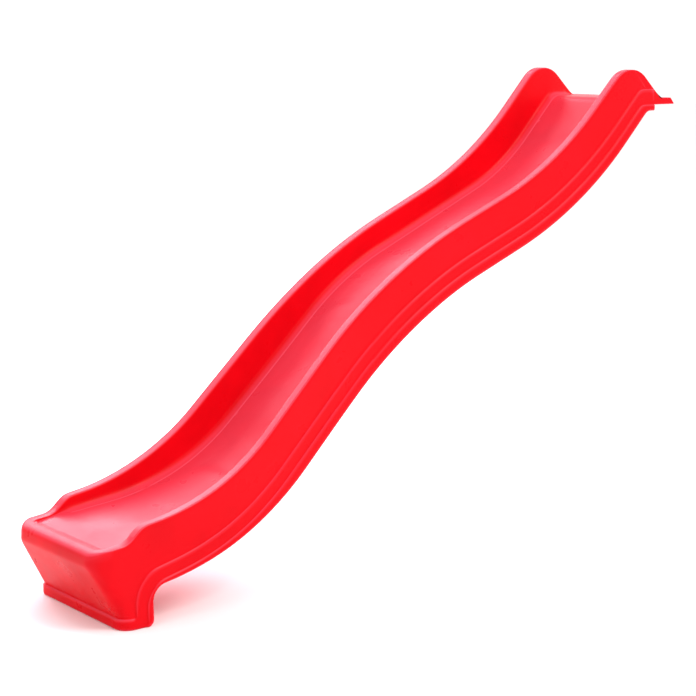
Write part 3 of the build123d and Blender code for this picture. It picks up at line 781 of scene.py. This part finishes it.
# ---------------------------------------------------------------- pieces
class SLIDE_OT_chute(bpy.types.Operator):
    """Moulds the chute over its side rows, bed and underside"""

    bl_idname = "slide.chute"
    bl_label = "Chute"

    def execute(self, context):
        settings = context.scene.slide_chute
        rows, fronts, edge = wall_rows()
        walls = round_nose(rows, fronts, edge)
        share = np.linspace(1, 0, FRONT_STEPS + 1)
        bed = np.repeat(rows[0][None], FRONT_STEPS + 1, axis=0)
        bed[:, :, 1] *= share[:, None]
        bed[:, :, 2] = bed_height(bed[:, :, 0], bed[:, :, 1], edge[None])
        sole = np.repeat(rows[-1][None], FRONT_STEPS + 1, axis=0)
        sole[:, :, 1] *= share[:, None]
        chute = sheet("chute", walls)
        only(chute, sheet("chute_bed", bed), sheet("chute_sole", sole))
        bpy.ops.object.join()
        in_edit(chute, lambda: bpy.ops.mesh.remove_doubles(threshold=0.02 * MM))
        apply(chute, "MIRROR", use_axis=(False, True, False), use_clip=True, merge_threshold=0.01 * MM)
        in_edit(chute, lambda: bpy.ops.mesh.remove_doubles(threshold=0.02 * MM), close_rear_edge)
        for y in CUP_PLACES:
            sink(chute, RUN - CUP_BACK, y, CUP_DEPTH, settings.cup_radius / MM)
        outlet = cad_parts["water_outlet"]
        places = [(outlet.matrix_world @ Vector(corner)).x for corner in outlet.bound_box]
        dish_place = (min(places) + max(places)) / 2 / MM - CAD_LOW[0] / MM
        sink(chute, dish_place, 0.0, DISH_DEPTH, DISH_RADIUS)
        only(chute)
        bpy.ops.object.shade_smooth_by_angle(angle=radians(40))
        chute.data.materials.clear()
        chute.data.materials.append(chute_plastic(settings.colour, settings.roughness))
        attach(chute, "root")
        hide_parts("chute_top_skin", "chute_under_skin")
        return {"FINISHED"}


class SLIDE_OT_fixings(bpy.types.Operator):
    """Finishes the cups, lids, washers and screws in the lip"""

    bl_idname = "slide.fixings"
    bl_label = "Lip fixings"

    def execute(self, context):
        colour = tuple(context.scene.slide_chute.colour)
        sides = ("left", "centre", "right")
        caps = small_plastic("cap_red_plastic", colour, 0.34)
        steel = plated_steel("screw_steel")
        dress([f"{kind}_{side}" for kind in ("cap_base", "cap_lid") for side in sides], caps)
        dress([f"{kind}_{side}" for kind in ("lip_washer", "lip_screw") for side in sides], steel)
        return {"FINISHED"}


class SLIDE_OT_water(bpy.types.Operator):
    """Finishes the water outlet, its seal, nut and hose tail"""

    bl_idname = "slide.water"
    bl_label = "Water connection"

    def execute(self, context):
        colour = tuple(context.scene.slide_small_parts.fitting_colour)
        dress(("water_outlet", "water_nut", "hose_tail"), small_plastic("fitting_plastic", colour, 0.45))
        dress(("water_seal",), small_plastic("seal_rubber", (0.015, 0.015, 0.015), 0.7))
        return {"FINISHED"}


class SLIDE_OT_plugs(bpy.types.Operator):
    """Finishes the drain plugs in the foot's rear wall"""

    bl_idname = "slide.plugs"
    bl_label = "Drain plugs"

    def execute(self, context):
        colour = tuple(0.9 * c for c in context.scene.slide_chute.colour)
        dress(("drain_plug_left", "drain_plug_right"), small_plastic("plug_plastic", colour, 0.42))
        return {"FINISHED"}


LAMPS = (  # name, place, what it points at, size, share of the key light's power, colour
    ("key", (1.5, -4.5, 6.0), (0.0, 0.0, 0.6), 3.0, 1.0, (1, 1, 1)),
    ("back", (0.5, 5.5, 4.6), (0.0, 0.0, 0.8), 5.0, 2.0, (1.0, 0.8, 0.94)),
)


class SLIDE_OT_stage(bpy.types.Operator):
    """Adds the floor, the soft lights and the camera"""

    bl_idname = "slide.stage"
    bl_label = "Stage"

    def execute(self, context):
        settings = context.scene.slide_stage
        bpy.ops.mesh.primitive_plane_add(size=60, location=(0, 0, 0))
        floor = context.active_object
        floor.name = "floor"
        material, shader = new_material("floor_paper", tuple(settings.floor_colour), 0.9)
        floor_colour = tuple(settings.floor_colour)
        darker = tuple(0.99 * c for c in floor_colour)
        paper = mix_colour(material, noise(material, 2.0), floor_colour, darker)
        link(material, paper, shader.inputs["Base Color"])
        floor.data.materials.append(material)
        floor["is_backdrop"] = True
        world = bpy.data.worlds.new("studio")
        world.use_nodes = True
        world.node_tree.nodes["Background"].inputs["Color"].default_value = (1.0, 1.0, 1.0, 1)
        world.node_tree.nodes["Background"].inputs["Strength"].default_value = 1.1
        context.scene.world = world
        context.scene.view_settings.view_transform = "Standard"
        for name, place, target, size, share, colour in LAMPS:
            bpy.ops.object.light_add(type="AREA", location=place)
            lamp = context.active_object
            lamp.name = f"{name}_light"
            lamp.data.shape = "SQUARE"
            lamp.data.size = size
            lamp.data.energy = settings.key_power * share
            lamp.data.color = colour
            aim = np.array(target) - np.array(place)
            tilt = atan2(hypot(aim[0], aim[1]), -aim[2])
            lamp.rotation_euler = (tilt, 0.0, atan2(-aim[0], aim[1]))
        bpy.ops.object.camera_add(
            location=(-3.792, -4.536, 1.775), rotation=(radians(79.64), 0.0, radians(-39.14))
        )
        camera = context.active_object
        camera.name = "camera"
        camera.data.lens = settings.lens
        camera.data.sensor_width = 36.0
        context.scene.camera = camera
        return {"FINISHED"}


class SLIDE_PT_panel(bpy.types.Panel):
    """Lists the pieces and their settings."""

    bl_idname = "SLIDE_PT_panel"
    bl_label = "Wave slide"
    bl_space_type = "VIEW_3D"
    bl_region_type = "UI"
    bl_category = "Wave slide"

    def draw(self, context):
        for setting in SETTINGS:
            group = getattr(context.scene, setting)
            for name in group.__annotations__:
                self.layout.prop(group, name)
        for operator in OPERATORS:
            self.layout.operator(operator.bl_idname)


SETTINGS = {
    "slide_chute": ChuteSettings,
    "slide_small_parts": SmallPartSettings,
    "slide_stage": StageSettings,
}
OPERATORS = (SLIDE_OT_chute, SLIDE_OT_fixings, SLIDE_OT_water, SLIDE_OT_plugs, SLIDE_OT_stage)


def register():
    for group in (*SETTINGS.values(), *OPERATORS, SLIDE_PT_panel):
        bpy.utils.register_class(group)
    for name, group in SETTINGS.items():
        setattr(bpy.types.Scene, name, bpy.props.PointerProperty(type=group))


def unregister():
    for name in SETTINGS:
        delattr(bpy.types.Scene, name)
    for group in reversed((*SETTINGS.values(), *OPERATORS, SLIDE_PT_panel)):
        bpy.utils.unregister_class(group)


def main():
    register()
    for step in (
        bpy.ops.slide.chute,
        bpy.ops.slide.fixings,
        bpy.ops.slide.water,
        bpy.ops.slide.plugs,
        bpy.ops.slide.stage,
    ):
        step()


if __name__ == "__main__":
    main()
